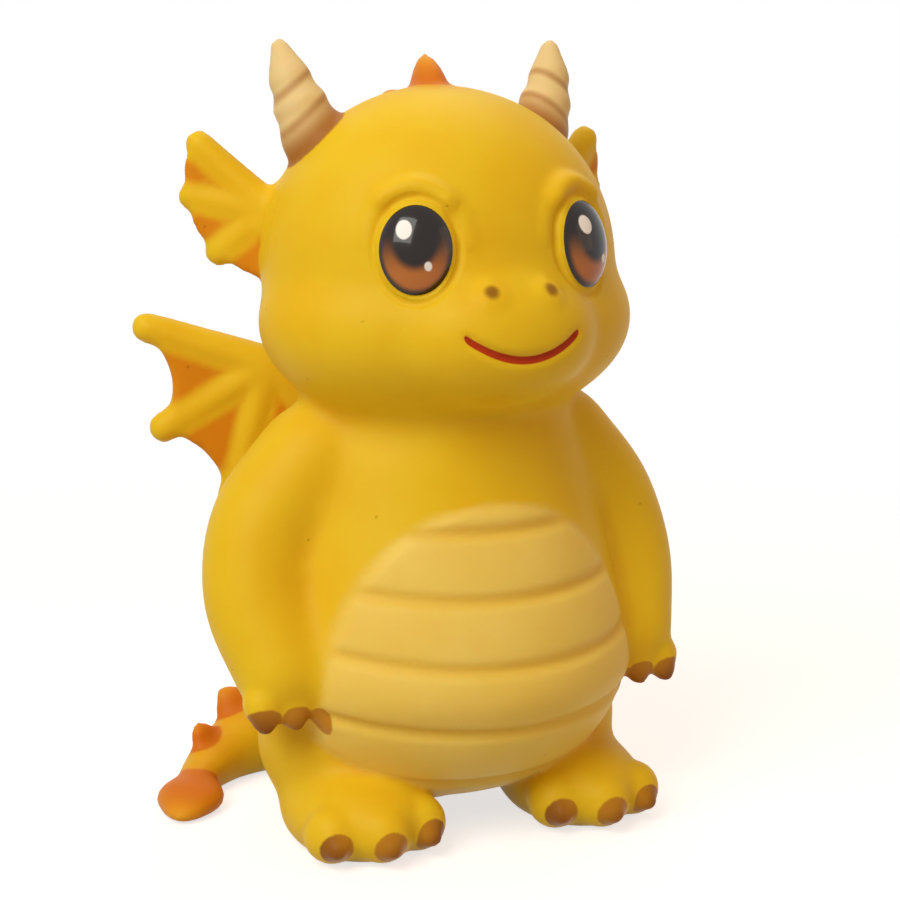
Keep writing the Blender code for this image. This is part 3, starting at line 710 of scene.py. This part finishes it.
HOLLOW_SHADE_EDGE = (0.05, 0.9)
CREST_HALO = (7.0, 0.5)
CREST_EDGE = (1.0, 0.5)
CREST_FADE = (1.0, 6.0)
RIB_EDGE = (0.1, 1.5)
WEB_EDGE = (1.1, 0.5)
HORN_EDGE = (0.9, 0.5)
HORN_FADE = (0.5, 5.0)
HORN_GROOVE_SHADE_EDGE = (1.0, 0.0)
CLAW_EDGE = (0.65, 0.35)
CLAW_FADE = (0.5, 4.0)
NOSTRIL_EDGE = (1.6, 0.7)
SMILE_EDGE = (0.68, 0.5)
MOTTLE_SPACING = 15 * MM
FLECK_SPACING = 0.9 * MM
DIMPLE_SPACING = 4 * MM
PINHOLE_SPACING = 4 * MM

paint = bpy.data.materials.new("airbrushed foam")
paint.use_nodes = True
tree = paint.node_tree
surface = tree.nodes["Principled BSDF"]


def add_node(tree, kind, inputs=None, **settings):
    """A node with its settings, and its inputs joined to sockets or set to values."""
    node = tree.nodes.new(kind)
    for name, value in settings.items():
        setattr(node, name, value)
    for name, value in (inputs or {}).items():
        if isinstance(value, bpy.types.NodeSocket):
            tree.links.new(value, node.inputs[name])
        else:
            node.inputs[name].default_value = value
    return node


def maths(tree, operation, *values):
    return add_node(tree, "ShaderNodeMath", dict(enumerate(values)), operation=operation).outputs[0]


def step_between(tree, value, start, end, most=1.0):
    """0 up to start and the most from end, smooth between; start may be the larger."""
    inputs = {"Value": value, "From Min": start, "From Max": end, "To Max": most}
    return add_node(tree, "ShaderNodeMapRange", inputs, interpolation_type="SMOOTHSTEP").outputs[0]


def over(tree, mask, under, coat):
    """A coat of paint over what is under it, where the mask is 1."""
    node = add_node(tree, "ShaderNodeMix", data_type="RGBA")
    for socket, value in ((node.inputs[0], mask), (node.inputs[6], under), (node.inputs[7], coat)):
        if isinstance(value, bpy.types.NodeSocket):
            tree.links.new(value, socket)
        else:
            socket.default_value = value
    return node.outputs[2]


def grain(tree, place, spacing, detail=2.0):
    """Soft noise, 0 to 1, whose blobs are about a spacing across."""
    inputs = {"Vector": place, "Scale": 1 / spacing, "Detail": detail, "Roughness": 0.5}
    return add_node(tree, "ShaderNodeTexNoise", inputs).outputs["Fac"]


def gap_to(tree, place, point):
    """The distance to a point, in millimetres."""
    away = add_node(tree, "ShaderNodeVectorMath", {0: place, 1: point}, operation="DISTANCE")
    return maths(tree, "DIVIDE", away.outputs["Value"], MM)


def gap_to_level(tree, height, level):
    """How far a coordinate is from a level."""
    return maths(tree, "ABSOLUTE", maths(tree, "SUBTRACT", height, level))


place = add_node(tree, "ShaderNodeTexCoord").outputs["Object"]
axes = add_node(tree, "ShaderNodeSeparateXYZ", {0: place})
field = {name: add_node(tree, "ShaderNodeAttribute", attribute_name=name).outputs["Fac"] for name in fields}
mottle = grain(tree, place, MOTTLE_SPACING, detail=3.0)
fleck = grain(tree, place, FLECK_SPACING)
spray = maths(tree, "SUBTRACT", fleck, 0.5)

colour = over(tree, step_between(tree, mottle, 0.35, 0.8, 0.8), YELLOW, YELLOW_DEEP)
# Painted shade: every hollow of the skin is darkened towards amber.
colour = over(tree, step_between(tree, field["hollow"], *HOLLOW_SHADE_EDGE, 0.6), colour, AMBER)
colour = over(tree, step_between(tree, field["crest"], *CREST_HALO, 0.55), colour, AMBER)
# A faint grey patch round each of these places on the right cheek, broken up by noise.
for middle, radius in GREY_PATCHES:
    greyed = step_between(tree, gap_to(tree, place, middle + shift), radius, 0.1 * radius, 0.5)
    greyed = maths(tree, "MULTIPLY", greyed, step_between(tree, grain(tree, place, 3 * MM, 4.0), 0.3, 0.8))
    colour = over(tree, greyed, colour, PATCH_GREY)

belly_mask = step_between(tree, maths(tree, "ADD", field["belly"], spray), *BELLY_EDGE)
cream = over(tree, mottle, CREAM, CREAM_MOTTLE_AND_FOLD_SHADE)
# Painted shade: the folds between the belly's scutes are darkened to the deeper cream.
cream = over(tree, step_between(tree, field["fold"], *FOLD_SHADE_EDGE, 0.8), cream, CREAM_MOTTLE_AND_FOLD_SHADE)
colour = over(tree, belly_mask, colour, cream)

off_rib = maths(tree, "ADD", field["rib"], maths(tree, "MULTIPLY", spray, 0.3))
membrane = step_between(tree, off_rib, *RIB_EDGE)
membrane = maths(tree, "MULTIPLY", membrane, step_between(tree, field["web"], *WEB_EDGE))
colour = over(tree, membrane, colour, AMBER)

plate_colour = over(tree, step_between(tree, field["rise"], *CREST_FADE), ORANGE, ORANGE_LIGHT)
colour = over(tree, step_between(tree, field["crest"], *CREST_EDGE), colour, plate_colour)

horn_colour = over(tree, step_between(tree, field["rise"], *HORN_FADE), HORN_BROWN, HORN_CREAM)
# Painted shade: brown in the two grooves of each horn.
for share, _ in (HORN_PROFILE[2], HORN_PROFILE[4]):
    off_groove = gap_to_level(tree, field["rise"], share * HORN_LENGTH / MM)
    horn_colour = over(tree, step_between(tree, off_groove, *HORN_GROOVE_SHADE_EDGE, 0.6), horn_colour, HORN_BROWN)
colour = over(tree, step_between(tree, field["horn"], *HORN_EDGE), colour, horn_colour)

off_claw = maths(tree, "ADD", field["claw"], maths(tree, "MULTIPLY", spray, 0.2))
claw_mask = step_between(tree, off_claw, *CLAW_EDGE)
claw_colour = over(tree, step_between(tree, field["rise"], *CLAW_FADE), CLAW_LIGHT, CLAW_BROWN)
colour = over(tree, claw_mask, colour, claw_colour)

for nostril in nostrils:
    hole = step_between(tree, gap_to(tree, place, nostril + shift), *NOSTRIL_EDGE, 0.85)
    colour = over(tree, hole, colour, CLAW_BROWN)

across = maths(tree, "DIVIDE", maths(tree, "SUBTRACT", axes.outputs[0], shift.x), SMILE_HALF_WIDTH)
line = maths(tree, "MULTIPLY", maths(tree, "MULTIPLY", across, across), SMILE_LIFT)
line = maths(tree, "ADD", line, MUZZLE.z - SMILE_DROP + shift.z)
past_end = maths(tree, "SUBTRACT", maths(tree, "ABSOLUTE", across), 1.0)
past_end = maths(tree, "MULTIPLY", maths(tree, "MAXIMUM", past_end, 0.0), SMILE_HALF_WIDTH)
off_line = gap_to_level(tree, axes.outputs[2], line)
off_smile = add_node(tree, "ShaderNodeCombineXYZ", {0: off_line, 1: past_end}).outputs[0]
off_smile = gap_to(tree, off_smile, (0, 0, 0))
on_front = step_between(tree, axes.outputs[1], MUZZLE.y + shift.y, MUZZLE.y + shift.y - MM)
smile_mask = maths(tree, "MULTIPLY", step_between(tree, off_smile, *SMILE_EDGE), on_front)
colour = over(tree, smile_mask, colour, SMILE_RED)

cells = add_node(tree, "ShaderNodeTexVoronoi", {"Vector": place, "Scale": 1 / PINHOLE_SPACING})
draw = add_node(tree, "ShaderNodeSeparateColor", {0: cells.outputs["Color"]}).outputs[0]
pinholes = step_between(tree, cells.outputs["Distance"], 0.07, 0.03)
pinholes = maths(tree, "MULTIPLY", pinholes, step_between(tree, draw, 0.84, 0.86))
colour = over(tree, maths(tree, "MULTIPLY", pinholes, 0.2), colour, CLAW_BROWN)

parting = gap_to_level(tree, axes.outputs[1], PARTING_LINE_Y + shift.y)
parting = step_between(tree, parting, 0.5 * MM, 0.1 * MM)
parting = maths(tree, "MULTIPLY", parting, step_between(tree, mottle, 0.3, 0.6, 0.05))
peel = maths(tree, "MULTIPLY", fleck, 0.02)
dimples = maths(tree, "MULTIPLY", grain(tree, place, DIMPLE_SPACING), 0.06)
height = maths(tree, "ADD", maths(tree, "ADD", peel, dimples), parting)
height = maths(tree, "SUBTRACT", height, maths(tree, "MULTIPLY", pinholes, 0.12))
bump = add_node(tree, "ShaderNodeBump", {"Height": height, "Distance": MM, "Strength": 1.0})
matt = add_node(tree, "ShaderNodeMapRange", {"Value": mottle, "To Min": 0.42, "To Max": 0.56}).outputs[0]
matt = maths(tree, "SUBTRACT", matt, maths(tree, "MULTIPLY", claw_mask, 0.1))
tree.links.new(colour, surface.inputs["Base Color"])
tree.links.new(matt, surface.inputs["Roughness"])
tree.links.new(bump.outputs[0], surface.inputs["Normal"])
surface.inputs["Specular IOR Level"].default_value = 0.16
surface.inputs["Subsurface Weight"].default_value = 0.3
surface.inputs["Subsurface Radius"].default_value = (1.0, 0.35, 0.06)
surface.inputs["Subsurface Scale"].default_value = 4 * MM
skin_mesh.materials.append(paint)

# Eye paint: a smooth thick coat on each domed eye, near black with a warm amber crescent in its lower half
# and two white dots that are painted highlights, put on with a stamp and finished with a clear gloss
# varnish.
EYE_DARK = (0.01, 0.004, 0.002, 1)
EYE_AMBER = (0.5, 0.16, 0.01, 1)
HIGHLIGHT_WHITE = (0.9, 0.9, 0.9, 1)
PAINTED_SHARE = 0.965 * EYE_SEEN_SHARE

varnished = bpy.data.materials.new("varnished eye paint")
varnished.use_nodes = True
tree = varnished.node_tree
surface = tree.nodes["Principled BSDF"]
spot = add_node(tree, "ShaderNodeAttribute", attribute_name="spot").outputs["Vector"]
axes = add_node(tree, "ShaderNodeSeparateXYZ", {0: spot})
flat = add_node(tree, "ShaderNodeCombineXYZ", {0: axes.outputs[0], 1: axes.outputs[1]}).outputs[0]


def dab(centre, radius, blur):
    """1 within a round spot of the eye, whose outline has radius 1, and 0 outside it."""
    away = add_node(tree, "ShaderNodeVectorMath", {0: flat, 1: (*centre, 0)}, operation="DISTANCE")
    return step_between(tree, away.outputs["Value"], radius + blur, radius - blur)


crescent = maths(tree, "MULTIPLY", dab((0, 0), 0.86, 0.07), step_between(tree, axes.outputs[1], 0.35, -0.6))
crescent = maths(tree, "MULTIPLY", crescent, maths(tree, "SUBTRACT", 1.0, dab((0, 0.2), 0.62, 0.12)))
# Two white dots on each eye, painted highlights.
highlight_dots = maths(tree, "MAXIMUM", dab((-0.3, 0.42), 0.21, 0.02), dab((0.34, -0.36), 0.1, 0.02))
eye_colour = over(tree, highlight_dots, over(tree, crescent, EYE_DARK, EYE_AMBER), HIGHLIGHT_WHITE)
brush_marks = {"Value": grain(tree, spot, 0.5), "To Min": 0.2, "To Max": 0.32}
brushed = add_node(tree, "ShaderNodeMapRange", brush_marks).outputs[0]
tree.links.new(eye_colour, surface.inputs["Base Color"])
tree.links.new(brushed, surface.inputs["Roughness"])
surface.inputs["Specular IOR Level"].default_value = 0.1
surface.inputs["Coat Weight"].default_value = 0.6
surface.inputs["Coat Roughness"].default_value = 0.07

for name, (seat, normal, turn) in zip(("right_eye_paint", "left_eye_paint"), eyes):
    coat = bmesh.new()
    bmesh.ops.create_uvsphere(coat, u_segments=96, v_segments=64, radius=1.0)
    whole_ball = [*coat.verts, *coat.edges, *coat.faces]
    coat_edge = UP * math.sqrt(1 - PAINTED_SHARE**2)
    bmesh.ops.bisect_plane(
        coat, geom=whole_ball, dist=1e-6, plane_co=coat_edge, plane_no=UP, clear_inner=True)
    middle = Matrix.Translation(seat + shift + normal * (EYE_BULGE - EYE_BALL_DEPTH))
    ball_place = middle @ turn.to_4x4() @ Matrix.Diagonal((*EYE_BALL, 1))
    bmesh.ops.transform(coat, matrix=ball_place, verts=coat.verts)
    bmesh.ops.recalc_face_normals(coat, faces=coat.faces)
    bmesh.ops.solidify(coat, geom=coat.faces, thickness=EYE_PAINT_THICKNESS)
    coat_mesh = bpy.data.meshes.new(name)
    coat.to_mesh(coat_mesh)
    coat.free()
    into_ball = ball_place.inverted()
    spots = [share for vertex in coat_mesh.vertices for share in (into_ball @ vertex.co) / EYE_SEEN_SHARE]
    coat_mesh.attributes.new("spot", "FLOAT_VECTOR", "POINT").data.foreach_set("vector", spots)
    coat_mesh.shade_smooth()
    coat_mesh.set_sharp_from_angle(angle=math.radians(50))
    coat_mesh.materials.append(varnished)
    eye_paint = bpy.data.objects.new(name, coat_mesh)
    bpy.context.scene.collection.objects.link(eye_paint)
    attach(eye_paint, "root")

# The table top it stands on: a wide pale sheet that shows the soft shadow and fades into a white backdrop.
TABLE_RADIUS = 0.9
TABLE_GREY = (0.55, 0.54, 0.54, 1)
TABLE_GLOW = 0.69
TABLE_FADE = (0.12, 0.3)
table_form = bmesh.new()
bmesh.ops.create_circle(table_form, cap_ends=True, segments=96, radius=TABLE_RADIUS)
table_mesh = bpy.data.meshes.new("table")
table_form.to_mesh(table_mesh)
table_form.free()
table = bpy.data.objects.new("table", table_mesh)
bpy.context.scene.collection.objects.link(table)
pale = bpy.data.materials.new("pale table")
pale.use_nodes = True
table_tree = pale.node_tree
pale_surface = table_tree.nodes["Principled BSDF"]
pale_surface.inputs["Base Color"].default_value = TABLE_GREY
pale_surface.inputs["Roughness"].default_value = 0.8


def seen_directly(tree):
    """1 for what the camera sees, also in a reflection or through glass, and 0 for light on a surface."""
    path = add_node(tree, "ShaderNodeLightPath")
    mirrored = maths(tree, "MAXIMUM", path.outputs["Is Glossy Ray"], path.outputs["Is Transmission Ray"])
    return maths(tree, "MAXIMUM", path.outputs["Is Camera Ray"], mirrored)


glow_strength = maths(table_tree, "MULTIPLY", seen_directly(table_tree), TABLE_GLOW)
glow = add_node(table_tree, "ShaderNodeEmission", {"Strength": glow_strength})
lit = add_node(table_tree, "ShaderNodeAddShader", {0: pale_surface.outputs[0], 1: glow.outputs[0]})
table_place = add_node(table_tree, "ShaderNodeTexCoord").outputs["Object"]
spread = add_node(table_tree, "ShaderNodeVectorMath", {0: table_place}, operation="LENGTH").outputs["Value"]
clear = add_node(table_tree, "ShaderNodeBsdfTransparent")
fade = add_node(table_tree, "ShaderNodeMixShader", {
    0: step_between(table_tree, spread, *TABLE_FADE), 1: lit.outputs[0], 2: clear.outputs[0]})
table_tree.links.new(fade.outputs[0], table_tree.nodes["Material Output"].inputs["Surface"])
table_mesh.materials.append(pale)

# The studio: one large soft box in front on the figure's right, a weaker one on its left, a small one behind
# it that lights the top of the head, and an even surround that is white to the eye and warm, as a wooden
# room is, to the foam.
WARM_ROOM = (0.34, 0.215, 0.115, 1)
WHITE = (1, 1, 1, 1)
FIGURE_MIDDLE = Vector((0, 0, 0.06))


def add_softbox(name, azimuth, elevation, distance, size, power, tint):
    """A square area lamp that faces the figure; azimuth 0 is in front of it and positive is to its left."""
    a, e = math.radians(azimuth), math.radians(elevation)
    outward = Vector((math.sin(a) * math.cos(e), -math.cos(a) * math.cos(e), math.sin(e)))
    lamp = bpy.data.lights.new(name, "AREA")
    lamp.size = size
    lamp.energy = power
    lamp.color = tint
    softbox = bpy.data.objects.new(name, lamp)
    softbox.location = FIGURE_MIDDLE + outward * distance
    softbox.rotation_euler = outward.to_track_quat("Z", "Y").to_euler()
    bpy.context.scene.collection.objects.link(softbox)


add_softbox("key softbox", azimuth=-56, elevation=40, distance=0.6, size=0.4, power=2.4,
            tint=(1, 1, 0.95))
add_softbox("fill softbox", azimuth=50, elevation=20, distance=0.8, size=0.5, power=0.5,
            tint=(1, 0.62, 0.34))
add_softbox("top softbox", azimuth=140, elevation=62, distance=0.5, size=0.25, power=0.5,
            tint=(1, 0.86, 0.66))

world = bpy.data.worlds.new("white surround")
world.use_nodes = True
bpy.context.scene.world = world
world_tree = world.node_tree
background = world_tree.nodes["Background"]
surround = over(world_tree, seen_directly(world_tree), WARM_ROOM, WHITE)
world_tree.links.new(surround, background.inputs["Color"])
bpy.context.scene.view_settings.view_transform = "Standard"

# The camera looks slightly down on the figure from its right, through a short telephoto lens.
CAMERA_AZIMUTH = math.radians(-25)
CAMERA_ELEVATION = math.radians(10)
CAMERA_DISTANCE = 0.333
CAMERA_AIM = Vector((0.0035, -0.001, 0.057))
LENS = 85
lens = bpy.data.cameras.new("camera")
lens.lens = LENS
lens.sensor_width = 36
camera = bpy.data.objects.new("camera", lens)
outward = Vector((
    math.sin(CAMERA_AZIMUTH) * math.cos(CAMERA_ELEVATION),
    -math.cos(CAMERA_AZIMUTH) * math.cos(CAMERA_ELEVATION),
    math.sin(CAMERA_ELEVATION),
))
camera.location = CAMERA_AIM + outward * CAMERA_DISTANCE
camera.rotation_euler = outward.to_track_quat("Z", "Y").to_euler()
bpy.context.scene.collection.objects.link(camera)
bpy.context.scene.camera = camera
